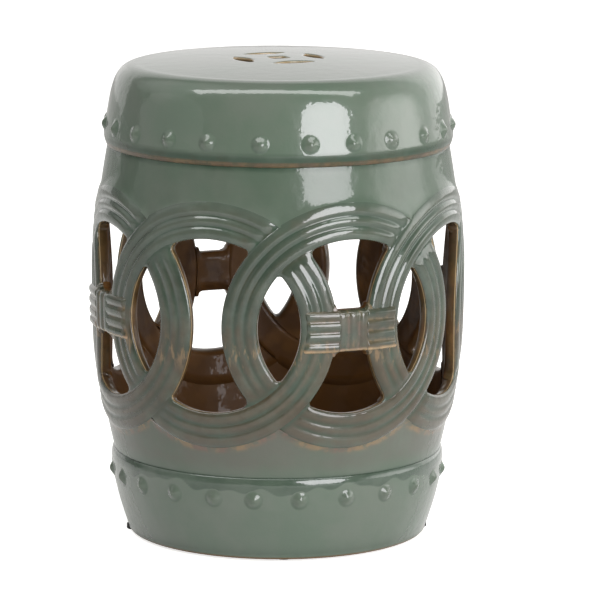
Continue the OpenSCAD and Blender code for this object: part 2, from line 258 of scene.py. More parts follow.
# The glaze: patterns, heights and marks are shares from 0 to 1, and each layer lies over the one below by
# its shares
def glazeMaterial(name, values):
    material, tree, place = emptyMaterial(name)
    colours = {key: linearColour(value) for key, value in values["colours"].items()}
    shares = {key: addNode(tree, "Attribute", output="Fac", attribute_name=key) for key in markNames}
    upright = addNode(tree, "Mapping", place, Scale=(1.0, 1.0, values["streakSquash"]))
    for key, (sizeMm, detail, rough, low, high, least) in values["patterns"].items():
        noise = addNode(tree, "TexNoise", output="Fac", Vector=upright if key == "streak" else place,
                        Scale=1.0 / (sizeMm * metresPerMm), Detail=detail, Roughness=rough)
        if key == "brownish":   # the brown shows more where the warm mark is high
            noise = addNode(tree, "Math", shares["warm"], values["warmth"], noise, operation="MULTIPLY_ADD")
        shares[key] = addNode(tree, "MapRange", noise, low, high, least, interpolation_type="SMOOTHSTEP")
    z = addNode(tree, "SeparateXYZ", place, output="Z")
    for key, (start, end, atStart, atEnd) in values["heights"].items():
        shares[key] = addNode(tree, "MapRange", z, start * metresPerMm, end * metresPerMm, atStart, atEnd,
                              interpolation_type="SMOOTHSTEP")
    shares["ironShare"] = addNode(tree, "Math", shares["ironCloud"], shares["ironLow"], operation="MAXIMUM")
    for result, under, over, factors in values["layers"]:
        share = shares.get(factors[0], factors[0])
        for factor in factors[1:]:
            share = addNode(tree, "Math", share, shares.get(factor, factor), operation="MULTIPLY")
        colours[result] = addNode(tree, "Mix", share, output=2, data_type="RGBA", i6=colours[under],
                                  i7=colours[over])

    height = 0.0
    for sizeMm, detail, rise, markName in values["waves"]:
        wave = addNode(tree, "TexNoise", output="Fac", Vector=place, Scale=1.0 / (sizeMm * metresPerMm),
                       Detail=detail)
        if markName:
            rise = addNode(tree, "Math", shares[markName], rise, operation="MULTIPLY")
        height = addNode(tree, "Math", wave, rise, height, operation="MULTIPLY_ADD")
    calm = addNode(tree, "MapRange", shares["calm"], 0.0, 1.0, 1.0, values["calmShare"],
                   interpolation_type="SMOOTHSTEP")
    height = addNode(tree, "Math", height, calm, operation="MULTIPLY")
    bump = addNode(tree, "Bump", Strength=1.0, Distance=values["waveMm"] * metresPerMm, Height=height)

    dull = [addNode(tree, "Math", shares[key], values[key + "Dull"], operation="MULTIPLY")
            for key in ("iron", "matt")]
    dull = addNode(tree, "Math", *dull, operation="MAXIMUM")
    clear = addNode(tree, "Math", 1.0, dull, operation="SUBTRACT")
    rough = addNode(tree, "MapRange", shares["iron"], 0.0, 1.0, *values["roughness"],
                    interpolation_type="SMOOTHSTEP")
    shader = addNode(tree, "BsdfPrincipled", Base_Color=colours["coat"], Roughness=rough, IOR=values["ior"],
                     Specular_IOR_Level=values["underLevel"], Coat_Weight=clear, Coat_IOR=values["ior"],
                     Coat_Roughness=values["clearRoughness"], Normal=bump, Coat_Normal=bump)
    addNode(tree, "OutputMaterial", shader)
    return material


# Black moulded rubber: matt, a little grey where it is scuffed, with a fine grain
rubberValues = {
    "black": "#141414",
    "scuffed": "#2a2928",
    "grainMm": 1.2,
    "grainHeightMm": 0.2,
    "grainStrength": 0.4,
    "roughness": 0.6,
}


# The rubber: one fine noise mixes the two colours and lifts the surface
def rubberMaterial(name, values):
    material, tree, place = emptyMaterial(name)
    grain = addNode(tree, "TexNoise", output="Fac", Vector=place, Detail=3.0,
                    Scale=1.0 / (values["grainMm"] * metresPerMm))
    colour = addNode(tree, "Mix", grain, output=2, data_type="RGBA", i6=linearColour(values["black"]),
                     i7=linearColour(values["scuffed"]))
    bump = addNode(tree, "Bump", Strength=values["grainStrength"], Height=grain,
                   Distance=values["grainHeightMm"] * metresPerMm)
    shader = addNode(tree, "BsdfPrincipled", Base_Color=colour, Roughness=values["roughness"], Normal=bump)
    addNode(tree, "OutputMaterial", shader)
    return material


celadonGlaze = glazeMaterial("stonewareCeladonGlazed", glazeValues)
blackRubber = rubberMaterial("rubberMoulded", rubberValues)
print("materials made")

# Barrel: the plain wall that carries the rings
barrel = {
    "bellyRadius": 171.5,   # over the ridges
    "relief": 3.2,          # ridges above the plain wall
    "bellyZ": 226.0,
    "neckZ": 359.5,
    "neckRadius": 155.9,
    "waistZ": 79.5,
    "waistRadius": 150.2,
    "wall": 10.0,
}
coreRadius = barrel["bellyRadius"] - barrel["relief"]


# Radius of the plain wall at height z: two parabolas that meet at the belly
def barrelRadius(z):
    z = np.asarray(z, float)
    up = (z - barrel["bellyZ"]) / (barrel["neckZ"] - barrel["bellyZ"])
    down = (barrel["bellyZ"] - z) / (barrel["bellyZ"] - barrel["waistZ"])
    return np.where(z > barrel["bellyZ"], coreRadius - (coreRadius - barrel["neckRadius"]) * up ** 2,
                    coreRadius - (coreRadius - barrel["waistRadius"]) * down ** 2)


# Point at distance s round the belly from the front, at height z, standing out by h
def onBarrel(s, z, h):
    s, z, h = np.broadcast_arrays(np.asarray(s, float), z, h)
    turn = s / barrel["bellyRadius"]
    r = barrelRadius(z) + h
    return np.stack([r * np.sin(turn), -r * np.cos(turn), z], -1)


# Rings: eight, each an upper (1) and a lower (-1) strip that weave over and under their neighbours
rings = {
    "count": 8,
    "middleZ": 217.5,
    "halfWidth": 103.496,        # along the middle of the strip, round the belly
    "halfHeight": 94.5,
    "halfBand": 16.5,
    "ridgeSpacing": 9.4,         # three ridges, from crest to crest
    "ridgeRound": 1.3,           # over 1, the crests are broader than the grooves
    "groove": 1.7,
    "sharp": {1: 0.95, -1: 0.5},   # depth of the grooves away from mid height, as a share
    "faint": 0.5,                # the same at mid height
    "faintZ": (5.0, 65.0),       # above the middle: where they start to deepen and where they are full
    "melt": {1: 1.0, -1: 0.3},   # how far the outer edge melts into the glaze of the plain wall
    "meltDrop": 0.45,            # how far that edge still drops, as a share of the relief
    "cornerRadius": 7.0,         # clay fillet in the corners of the openings
    "tuck": 2.2,                 # how far an end runs on under its neighbour
    "dip": 1.5,                  # how far the ridges sink before they go under, and over what length
    "dipReach": 6.0,
    "fade": 0.7,                 # how much of the grooves is filled there
    "fadeReach": 13.0,
    "seamReach": 3.5,            # glaze pooled along the neighbour
    "rim": 0.35,
    "sideDepth": 2.5,            # straight part of an opening's side
    "sideInset": 6.5,            # how far the side then curves back to the inner face
    "creamDepth": (0.7, 0.4),    # the bare line in an opening's side: its depth and half width
    "ironDepth": ((0.9, 1.4), (6.5, 9.5)),   # where the sides turn half to iron, and fully
    "stations": 190,
    # points of the section: from the outer crests to the edges, over the ridges, down the straight part of an
    # opening's side, round its curve, and across the inner face
    "bendPoints": 11,
    "ridgePoints": 41,
    "straightPoints": 8,
    "curvePoints": 9,
    "insidePoints": 5,
    # marks that change with height: value, change, and the heights it starts and ends at. The tops of the
    # rings have the thick coat of the wall, and lower down more brown and grey show through
    "coats": {
        "tone": (1.0, -0.4, 265.0, 315.0),
        "warm": (0.0, 0.8, 265.0, 175.0),
        "grey": (0.0, 0.5, 150.0, 105.0),
        "matt": (0.0, 0.75, 275.0, 205.0),
    },
}
pitch = 2 * math.pi * barrel["bellyRadius"] / rings["count"]
arcLength = math.pi * (rings["halfWidth"] + rings["halfHeight"]) / 2


# Angle along a ring's line at offset o where it meets its neighbour's line at offset edge, by halving
def meetAngle(o, edge):
    low, high = np.zeros_like(o), np.full_like(o, math.pi / 2)
    for _ in range(30):
        mid = (low + high) / 2
        across = ((rings["halfWidth"] + o) * np.cos(mid) - pitch) / (rings["halfWidth"] + edge)
        upward = (rings["halfHeight"] + o) * np.sin(mid) / (rings["halfHeight"] + edge)
        beyond = across ** 2 + upward ** 2 > 1
        high, low = np.where(beyond, mid, high), np.where(beyond, low, mid)
    return (low + high) / 2


# Extra width of a strip at distance d from its end, a quarter circle of the corner radius
def flare(d):
    r = rings["cornerRadius"]
    return np.where(d >= r, 0.0, r - np.sqrt(np.maximum(r * r - (r - np.clip(d, 0, r)) ** 2, 0.0)))


# Section of a strip, once round: side of the crests, share of the way from crest to edge, place on the
# ridges, height over the surface, inset, and kind, which is 0 on the face, 1 in an opening and 2 inside. An
# opening's side is straight at first and then a quarter of an ellipse
def stripSection():
    wall, depth = barrel["wall"], rings["sideDepth"]
    bend = np.sin(np.linspace(1, 0.08, rings["bendPoints"]) * math.pi / 2)
    straight = np.linspace(0, 1, rings["straightPoints"] + 1)[1:]
    curve = np.linspace(0, math.pi / 2, rings["curvePoints"] + 1)[1:]
    ridges = np.linspace(-1, 1, rings["ridgePoints"])
    inside = np.linspace(0.7, -0.7, rings["insidePoints"])
    below = np.concatenate([-depth * straight, -depth - (wall - depth) * np.sin(curve)])
    inset = np.concatenate([0 * straight, rings["sideInset"] * (1 - np.cos(curve))])
    parts = ((-1, bend, 0, 0, 0, 0), (0, 0, ridges, 0, 0, 0), (1, bend[::-1], 0, 0, 0, 0),
             (1, 1, 0, below, inset, 1), (0, 0, inside, -wall, 0, 2), (-1, 1, 0, below[::-1], inset[::-1], 1))
    return np.concatenate([np.stack(np.broadcast_arrays(*part)) for part in parts], 1)


# An upper strip, unrolled: distance round the belly, height and lift of each point, and its marks. It
# follows an ellipse from under the right neighbour over the left one and down inside it. Its ridges are
# faint at mid height and reach the given sharpness above it, and along the plain wall its outer edge melts
# by the given share. A lower strip is the same turned half round
def stripPlan(sharpness, melt):
    side, share, within, below, inset, kind = stripSection()
    half, tuck, spacing, relief = rings["halfBand"], rings["tuck"], rings["ridgeSpacing"], barrel["relief"]
    turn = np.linspace(-1, 1, rings["stations"])
    t = (0.5 + 0.5 * np.sign(turn) * np.abs(turn) ** 0.8)[:, None]
    t = 0.5 * t + 0.5 * (0.5 - 0.5 * np.cos(math.pi * t))   # stations stand closer towards the ends
    toStart, toStop = t * arcLength - tuck, (1 - t) * arcLength - tuck
    near = np.maximum(np.minimum(toStart, toStop), 0)
    edge = half + flare(np.where(side < 0, near, np.maximum(toStop, 0)))

    def angleAt(o):
        start, stop = meetAngle(o, half - tuck), math.pi + meetAngle(o, tuck - half)
        return start + (stop - start) * t
    line = (rings["halfWidth"] + half) * np.cos(angleAt(half + 0 * t))
    # the outer side is free past the cusp, where two rings part
    free = np.where(side > 0, smoothStep(-2.0, 4.0, -(line + pitch / 2)), 1.0)
    o = np.where(side == 0, within * spacing, side * (spacing + (edge - spacing) * share - inset * free))
    angle = angleAt(o)
    s = (rings["halfWidth"] + o) * np.cos(angle)
    z = (rings["halfHeight"] + o) * np.sin(angle)

    # place within a ridge, 0 on a crest and 1 in a valley: the crests are at -1, 0 and 1
    off = np.abs((within + 0.5) % 1.0 - 0.5) * 2
    ridge = rings["groove"] * (0.5 - 0.5 * np.cos(math.pi * off ** rings["ridgeRound"]))
    fade = 1 - rings["fade"] * np.exp(-(near / rings["fadeReach"]) ** 2)
    sink = rings["dip"] * np.exp(-(near / rings["dipReach"]) ** 2)
    depth = fade * (rings["faint"] + (sharpness - rings["faint"]) * smoothStep(*rings["faintZ"], z))
    melted = melt * (1 - free) * (side > 0)
    shoulder = (1 - melted) * (1 - share ** 2.4) ** (1 / 1.8) + melted * (1 - rings["meltDrop"] * share ** 2)
    top = np.where(side == 0, relief - ridge * depth, relief * shoulder)
    h = np.where(kind == 0, top - sink * top / relief, below)

    face, opening = kind == 0, kind == 1
    pool = np.where(face & (side == 0), off ** 2 * (0.3 + 0.6 * fade), 0)
    pool = np.maximum(pool, face * np.exp(-(near / rings["seamReach"]) ** 2))
    pool = np.maximum(pool, face * smoothStep(0.6, 1.0, share) * (1 - free) * (1 - 0.8 * melt))
    pool = np.where(opening, 0.8 * smoothStep(0.9, 2.5, -below), pool)
    crest = face * np.where(side == 0, (1 - off) ** 1.5 * fade, (1 - share) ** 1.5)
    rim = rings["rim"] * free * np.where(face, smoothStep(0.9, 1.0, share), opening)
    creamDepth, creamWidth = rings["creamDepth"]
    cream = opening * free * np.exp(-((-below - creamDepth) / creamWidth) ** 2)
    halfIron, fullIron = rings["ironDepth"]
    iron = ~face * 0.5 * (smoothStep(*halfIron, -below) + smoothStep(*fullIron, -below))
    return s, z, h, {"pool": pool, "rim": rim, "cream": cream, "iron": iron, "crest": crest}


plans = {side: stripPlan(rings["sharp"][side], rings["melt"][side]) for side in (1, -1)}
for index in range(rings["count"]):
    strips = []
    for side, (planS, planZ, planH, planMarks) in plans.items():
        stripZ = rings["middleZ"] + side * planZ
        coats = {key: value + change * smoothStep(start, end, stripZ)
                 for key, (value, change, start, end) in rings["coats"].items()}
        points = onBarrel(index * pitch + side * planS, stripZ, planH)
        strips.append(sheet(points, capEnds=True, **coats, **planMarks))
    makePiece(f"ring{index + 1}", strips, celadonGlaze, [f"ring_{index + 1}"])
print("rings made")

# Collars: the plain walls above and below the rings, with a scalloped edge that tucks in under the strips
collars = {
    "columnsPerRing": 48,
    "rows": 36,
    "tuck": 1.4,
    "lap": 0.5,   # how far the wall runs on into the seat and the foot, so that the joints close
    # for each: its far end and bevel, how far the glaze climbs at the rings and over what distance, how
    # much it pools there, how far the darkening at its far end reaches (painted shadow under the seat's skirt
    # for the upper collar, glaze pooled above the ledge for the lower), the least pool, the rim at the rings,
    # its tone all over, and what is added to that near the rings
    "upper": {"sign": 1, "end": "neckZ", "bevel": 0.6, "fillet": 1.68, "filletReach": 5.0, "ringPool": 0.3,
              "endPoolAndShade": 8.0, "leastPool": 0.32, "rim": 0.0, "tone": 0.1, "ringTone": 0.0},
    "lower": {"sign": -1, "end": "waistZ", "bevel": 0.3, "fillet": 1.2, "filletReach": 3.0, "ringPool": 0.35,
              "endPoolAndShade": 2.5, "leastPool": 0.0, "rim": 0.6, "tone": 0.0, "ringTone": 0.75},
    "ringToneZ": (138.5, 122.0),   # from the middle of the rings: where their tone starts and is full
}


# Distance from the nearest ring's outer line at (s, z): its ellipse measure less one, over the slope of
# that measure
def ringDistance(s, dz):
    ds = (s + pitch / 2) % pitch - pitch / 2
    a, b = rings["halfWidth"] + rings["halfBand"], rings["halfHeight"] + rings["halfBand"]
    f = np.sqrt((ds / a) ** 2 + (dz / b) ** 2)
    slope = np.sqrt((ds / a ** 2) ** 2 + (dz / b ** 2) ** 2) / f
    return (f - 1) / slope


# A collar: each column runs from the scallop, an ellipse inside the rings' outer lines, along the wall to
# the far end, round its bevel, back along the inner face and out through the thickness. dz is measured from
# the rings' middle
def collarSheet(values):
    sign, bevel, wall = values["sign"], values["bevel"], barrel["wall"]
    columns = collars["columnsPerRing"] * rings["count"]
    s = (np.arange(columns) / collars["columnsPerRing"] * pitch)[:, None]
    ds = (s + pitch / 2) % pitch - pitch / 2
    band = rings["halfBand"] - collars["tuck"]
    scallop = (rings["halfHeight"] + band) * np.sqrt(1 - (ds / (rings["halfWidth"] + band)) ** 2)
    span = sign * (barrel[values["end"]] + sign * collars["lap"] - rings["middleZ"])
    along = np.linspace(0, 1, collars["rows"])[None, :] ** 1.9   # rows stand closer at the rings
    dzOut = scallop + (span - bevel - scallop) * along
    hOut = values["fillet"] * np.exp(-ringDistance(s, dzOut) / values["filletReach"])
    turn = np.linspace(0, math.pi / 2, 5)[None, 1:]
    dzTop = span - bevel + bevel * np.sin(turn) + 0 * s
    hTop = -bevel + bevel * np.cos(turn) + 0 * s
    # a close first row keeps the corner crisp
    back = np.append(1, 0.985 * np.linspace(1, 0, 14) ** 1.3)[None, :]
    dzIn = scallop + (span - scallop) * back
    through = np.linspace(0, 1, 6)[None, 1:-1]
    dz = np.concatenate([dzOut, dzTop, dzIn, scallop + 0 * through], 1)
    h = np.concatenate([hOut, hTop, 0 * dzIn - wall, (hOut[:, :1] + wall) * through - wall], 1)
    away = np.maximum(ringDistance(s, dz), 0)
    outside = np.arange(dz.shape[1]) < dzOut.shape[1] + dzTop.shape[1]
    pool = np.maximum(np.exp(-away / 1.6) * values["ringPool"], values["leastPool"])
    # the far end is darkened: painted shadow under the seat's skirt on the upper collar, glaze pooled above
    # the ledge on the lower one
    pool = outside * np.maximum(pool, smoothStep(span - values["endPoolAndShade"], span - 0.5, dz))
    rim = outside * np.exp(-(np.maximum(away - 2.0, 0) / 2.5) ** 2) * values["rim"]
    tone = values["tone"] + values["ringTone"] * smoothStep(*collars["ringToneZ"], dz)
    points = onBarrel(s, rings["middleZ"] + sign * dz, h)
    return sheet(points, closeRows=True, pool=pool, rim=rim, iron=1.0 - outside, tone=tone, grey=1.0,
                 matt=1.0)


makePiece("upperCollar", [collarSheet(collars["upper"])], celadonGlaze, ["upper_collar"])
makePiece("lowerCollar", [collarSheet(collars["lower"])], celadonGlaze, ["lower_collar"])
print("collars made")

# Ties: clay cords that bind each second ring's neighbours together across its window
ties = {
    "names": {"tieFront": "tie_front", "tieRight": "tie_right", "tieBack": "tie_back", "tieLeft": "tie_left"},
    "height": 39.0,
    "drop": 2.6,
    "rise": 2.8,
    "groove": 1.3,
    "cords": 4,
    "barCords": 3,
    "sink": 1.5,         # how far the wraps reach down into the strips
    "lap": 4.0,          # how far a wrap turns over the strip's edge on to the bar
    "setBack": 3.0,      # how far it stops short of the strip's other edge
    "fillet": 5.0,       # clay in the corners between the bar and the strips
    "barReach": 3.0,     # how far the bar runs on into the strips
    "barShort": 0.8,     # how much less high the bar is than the wraps, at each end
    "barLow": 0.3,       # how much less it stands out
    "barEdge": 1.0,      # depth of its upper and lower edges
    "barBevel": 1.5,     # bevel round its back
    "wrapPoints": (61, 81),   # across and up
    "barPoints": (73, 41),
}
tieZ = rings["middleZ"] - ties["drop"]


# Two parameters from -1 to 1, one down a column and one along a row
def unitGrid(rows, columns):
    return np.linspace(-1, 1, rows)[:, None], np.linspace(-1, 1, columns)[None, :]


# Distance from the middle of a window at height z to the near or far edge of the strip beside it
def stripEdge(z, offset):
    lift = (np.asarray(z) - rings["middleZ"]) / (rings["halfHeight"] + offset)
    return pitch - (rings["halfWidth"] + offset) * np.sqrt(1 - lift ** 2)


# A row of cords laid side by side: how far the surface drops from their round crests, and the place within
# a cord, 0 on its crest and 1 in the groove where two meet
def cordProfile(x, count):
    off = np.abs((x * count) % 1.0 - 0.5) * 2
    return ties["groove"] * (0.5 - 0.5 * np.cos(math.pi * off ** 1.6)), off


# A wrap: level cords over the strip, rounded down at its four sides into it
def wrapSheet(index, side):
    across, up = unitGrid(*ties["wrapPoints"])
    z = tieZ + up * ties["height"] / 2
    near = stripEdge(z, rings["halfBand"]) - ties["lap"]
    far = stripEdge(z, -rings["halfBand"]) - ties["setBack"]
    s = index * pitch + side * ((near + far) / 2 + across * (far - near) / 2)
    drop, off = cordProfile((up + 1) / 2, ties["cords"])
    # towards the bar the wrap stays high, towards the lens it rounds down over the strip's edge
    roundSides = 1 - 0.75 * smoothStep(0.7, 1.0, across) ** 1.6 - 0.35 * smoothStep(-0.86, -1.0, across)
    lift = (barrel["relief"] + ties["rise"] - drop) * roundSides
    h = (lift + ties["sink"]) * (1 - up ** 14) ** 0.5 - ties["sink"]
    pool = off ** 2 * 0.7
    # the glaze has drawn back from the lower edge
    marks = {"pool": pool * 0.4, "rim": np.maximum(smoothStep(-0.72, -0.86, up), pool * 0.55),
             "crest": 0.4 * (1 - off) ** 1.5, "cream": 0.45 * smoothStep(-0.76, -0.9, up),
             "tone": 1, "warm": 0.4, "matt": 0.3}
    marks = {key: np.concatenate([value + 0 * h, 0 * h], 1) for key, value in marks.items()}
    loop = np.concatenate([onBarrel(s, z, h), onBarrel(s, z, -ties["sink"])[:, ::-1]], 1)
    return sheet(loop, capEnds=True, **marks)


# The bar: upright cords across the window, as thick as the wall, with fillets in its four corners, each a
# quarter circle
def barSheet(index):
    wall, fillet, reach = barrel["wall"], ties["fillet"], ties["barReach"]
    across, up = unitGrid(*ties["barPoints"])
    halfMid = stripEdge(tieZ, rings["halfBand"])
    into = np.clip((np.abs(across) * (halfMid + reach) - (halfMid - fillet)) / fillet, 0, 1)
    corner = fillet * (1 - np.sqrt(1 - into ** 2))
    wrapTall = ties["height"] / 2
    halfTall = wrapTall - ties["barShort"] + corner
    z = tieZ + up * halfTall
    half = stripEdge(np.clip(z, tieZ - wrapTall, tieZ + wrapTall), rings["halfBand"]) + reach
    s = across * half
    drop, off = cordProfile(np.clip((s / (half - reach) + 1) / 2, 0, 1), ties["barCords"])
    sides = 1 - 0.35 * smoothStep(0.9, 1.0, np.abs(s) / (half - reach))
    lift = (barrel["relief"] + ties["rise"] - ties["barLow"] - drop) * sides
    h = (lift + ties["barEdge"]) * (1 - up ** 10) ** 0.5 - ties["barEdge"]
    start = index * pitch
    front = onBarrel(start + s, z, h)
    levels = (-3.0, -6.0, ties["barBevel"] - wall)
    top = np.stack([onBarrel(start + s[:, -1], z[:, -1], level) for level in levels], 1)
    bottom = np.stack([onBarrel(start + s[:, 0], z[:, 0], level) for level in levels[::-1]], 1)
    backZ = tieZ + up[:, ::-10] * (halfTall - ties["barBevel"])
    back = onBarrel(start + across * half[:, ::-10], backZ, -wall)
    loop = np.concatenate([front, top, back, bottom], 1)
    pool = off ** 2 * 0.8
    plain = 1 - smoothStep(0.1, 1.0, corner)   # the fillets keep the plain coat
    marks = {"pool": pool * 0.4, "rim": np.maximum(smoothStep(-0.74, -0.88, up) * plain, pool * 0.55),
             "crest": 0.6 * (1 - off) ** 1.5, "cream": 0.45 * smoothStep(-0.78, -0.92, up) * plain,
             "tone": 1, "warm": 0.6, "matt": 0.5, "iron": 0}
    behind = np.zeros((len(loop), loop.shape[1] - front.shape[1]))
    marks = {key: np.concatenate([value + 0 * h, behind + (key == "iron")], 1)
             for key, value in marks.items()}
    return sheet(loop, capEnds=True, **marks)


for index, (name, node) in enumerate(ties["names"].items()):
    tie = [wrapSheet(2 * index, -1), wrapSheet(2 * index, 1), barSheet(2 * index)]
    makePiece(name, tie, celadonGlaze, [node])
print("ties made")

# Seat: a thrown drum with a rolled skirt, a rounded shoulder and a slightly domed top
seat = {
    "lipRadius": 156.4,
    "lipZ": 359.65,
    "skirtRadius": 159.2,
    "skirtZ": 370.5,
    "bandHeight": 27.0,
    "bandLean": 4.4,
    "flatRadius": 128.0,
    "flatZ": 433.0,
    "crownRise": 4.95,
    "riseShare": 0.74,       # how far the shoulder's curve keeps to the band's lean, and to the flat top
    "reachShare": 0.6,
    "coinRadius": 41.0,
    "leafLength": 41.0,
    "leafWidth": 14.0,
    "squareSide": 16.5,
    "coinPatch": 48.0,       # radius of the patch that is pierced
    "patchSpacing": 3.0,     # between the points that fill the patch
    "patchEdge": 2.0,        # their least distance from its edge, and from a hole
    "holeGap": 1.6,
    "holeRound": 1.6,
    "poolHeight": (13.0, 7.0),   # over the lip: where the roll starts to darken and where it is full; glaze pooled there, and painted shade where the roll turns down
    "mattHeight": (12.0, 8.0),
    "lipHeight": (4.6, 3.4),     # where the worn edge of the lip starts and is full
    "lipShare": 0.35,
    "calmZ": (422.0, 431.0),
    "columns": 192,
}


# A cubic curve through its first and last control points, worked out at every t at once
def bezier(p, t):
    t = np.asarray(t)[:, None]
    p = np.asarray(p, float)
    return (1 - t) ** 3 * p[0] + 3 * (1 - t) ** 2 * t * p[1] + 3 * (1 - t) * t ** 2 * p[2] + t ** 3 * p[3]


# A profile turned about the axis: each (radius, height) is carried round the columns
def turned(profile, columns):
    angle = np.arange(columns) / columns * 2 * math.pi
    r, z = profile[:, 0][None, :], profile[:, 1][None, :]
    return np.stack([r * np.sin(angle)[:, None], -r * np.cos(angle)[:, None], z + 0 * angle[:, None]], -1)


# Height of the top at radius r: a parabola over the flat radius
def crownZ(r):
    return seat["flatZ"] + seat["crownRise"] * (1 - (np.asarray(r) / seat["flatRadius"]) ** 2)


# Height of the underside at radius r: a flatter parabola, one wall lower
def underZ(r):
    middle = crownZ(0) - barrel["wall"] - seat["crownRise"] * 0.4
    return middle - (middle - seat["flatZ"] + barrel["wall"]) * (
        np.asarray(r) / (seat["flatRadius"] - barrel["wall"])) ** 2


shoulderZ = seat["skirtZ"] + seat["bandHeight"]
shoulderR = seat["skirtRadius"] - seat["bandLean"]
shoulderRise = (seat["flatZ"] - shoulderZ) * seat["riseShare"]
lean = seat["bandLean"] / seat["bandHeight"]
shoulderCurve = [[shoulderR, shoulderZ], [shoulderR - lean * shoulderRise, shoulderZ + shoulderRise],
                 [seat["flatRadius"] + (shoulderR - seat["flatRadius"]) * seat["reachShare"], seat["flatZ"]],
                 [seat["flatRadius"], seat["flatZ"]]]


# Outer profile: a parabola up from the lip, the straight band, the shoulder's curve and the crown to the
# patch
def seatProfile():
    q = np.linspace(1, 0, 12)[:-1]
    roll = np.stack([seat["skirtRadius"] - (seat["skirtRadius"] - seat["lipRadius"]) * q ** 2,
                     seat["skirtZ"] - (seat["skirtZ"] - seat["lipZ"]) * q], 1)
    band = np.linspace((seat["skirtRadius"], seat["skirtZ"]), (shoulderR, shoulderZ), 12)[:-1]
    r = np.linspace(seat["flatRadius"], seat["coinPatch"], 30)[1:]
    shoulder = bezier(shoulderCurve, np.linspace(0, 1, 34))
    return np.concatenate([roll, band, shoulder, np.stack([r, crownZ(r)], 1)])


# Outline of one leaf: two arcs of equal chord, the outer one on the coin's circle
def leafOutline(turn, steps=40):
    inner = seat["coinRadius"] - seat["leafWidth"]
    half = seat["leafLength"] / 2
    chord = math.sqrt(seat["coinRadius"] ** 2 - half ** 2)
    sag = chord - inner
    innerRadius = (half ** 2 + sag ** 2) / (2 * sag)
    outAngle = np.linspace(-1, 1, steps + 1)[:-1] * math.asin(half / seat["coinRadius"])
    inAngle = np.linspace(1, -1, steps + 1)[:-1] * math.asin(half / innerRadius)
    outward = np.stack([seat["coinRadius"] * np.cos(outAngle), seat["coinRadius"] * np.sin(outAngle)], 1)
    inward = np.stack([inner + innerRadius - innerRadius * np.cos(inAngle), innerRadius * np.sin(inAngle)], 1)
    c, s = math.cos(turn), math.sin(turn)
    return np.concatenate([outward, inward]) @ np.array([[c, s], [-s, c]])


# Outline of the square hole: one side, and the same turned by quarters
def squareOutline(steps=10):
    h = seat["squareSide"] / 2
    line = np.linspace(-h, h, steps + 1)[:-1]
    return np.concatenate([np.stack([line, 0 * line - h], 1), np.stack([0 * line + h, line], 1),
                           np.stack([-line, 0 * line + h], 1), np.stack([0 * line - h, -line], 1)])


# A closed outline drawn smooth and moved out by d: its corners are rounded by averaging, then each point
# moves along its normal
def grown(loop, d, smooth=3):
    for _ in range(smooth):
        loop = 0.5 * loop + 0.25 * (np.roll(loop, 1, 0) + np.roll(loop, -1, 0))
    along = np.roll(loop, -1, 0) - np.roll(loop, 1, 0)
    along /= np.linalg.norm(along, axis=1)[:, None]
    return loop + d * np.stack([along[:, 1], -along[:, 0]], 1)


# Points inside a closed outline, by counting the edges that a ray towards +x crosses
def insideLoop(points, loop):
    following = np.roll(loop, -1, 0)
    x, y = points[:, 0][:, None], points[:, 1][:, None]
    crosses = (loop[:, 1][None] > y) != (following[:, 1][None] > y)
    with np.errstate(divide="ignore", invalid="ignore"):
        at = loop[:, 0] + (y - loop[:, 1]) / (following[:, 1] - loop[:, 1]) * (following[:, 0] - loop[:, 0])
    return (crosses & (x < at)).sum(1) % 2 == 1


# The patch between an outer circle and the holes' outlines: rows of points fill it, joined with the
# outlines by triangles that face up or down
def patchTriangles(circle, holes, zOf, upward):
    spacing = seat["patchSpacing"]
    g = np.arange(-seat["coinPatch"], seat["coinPatch"] + spacing, spacing)
    gx, gy = [k.ravel() for k in np.meshgrid(g, g)]
    inside = np.stack([gx + (np.round(gy / spacing) % 2) * spacing / 2, gy], 1)
    keep = np.hypot(*inside.T) < seat["coinPatch"] - seat["patchEdge"]
    for hole in holes:
        gap = np.linalg.norm(inside[:, None, :] - hole[None, :, :], axis=2).min(1)
        keep &= (gap > seat["holeGap"]) & ~insideLoop(inside, hole)
    edges, start = [], 0
    for loop in [circle, *holes]:
        k = np.arange(len(loop))
        edges.append(start + np.stack([k, (k + 1) % len(loop)], 1))
        start += len(loop)
    points = np.concatenate([circle, *holes, inside[keep]])
    mesh = delaunay_2d_cdt([Vector(p) for p in points.tolist()], np.concatenate(edges).tolist(), [], 0, 1e-7)
    xy, tri = np.array([tuple(v) for v in mesh[0]]), np.array(mesh[2])
    middle = xy[tri].mean(1)
    good = insideLoop(middle, circle)
    for hole in holes:
        good &= ~insideLoop(middle, hole)
    tri = tri[good]
    a, b, c = xy[tri[:, 0]], xy[tri[:, 1]], xy[tri[:, 2]]
    area = (b[:, 0] - a[:, 0]) * (c[:, 1] - a[:, 1]) - (b[:, 1] - a[:, 1]) * (c[:, 0] - a[:, 0])
    turnOver = (area < 0) == upward
    tri[turnOver] = tri[turnOver][:, ::-1]
    return np.stack([xy[:, 0], xy[:, 1], zOf(np.hypot(*xy.T))], 1), np.concatenate([tri, tri[:, 2:]], 1)


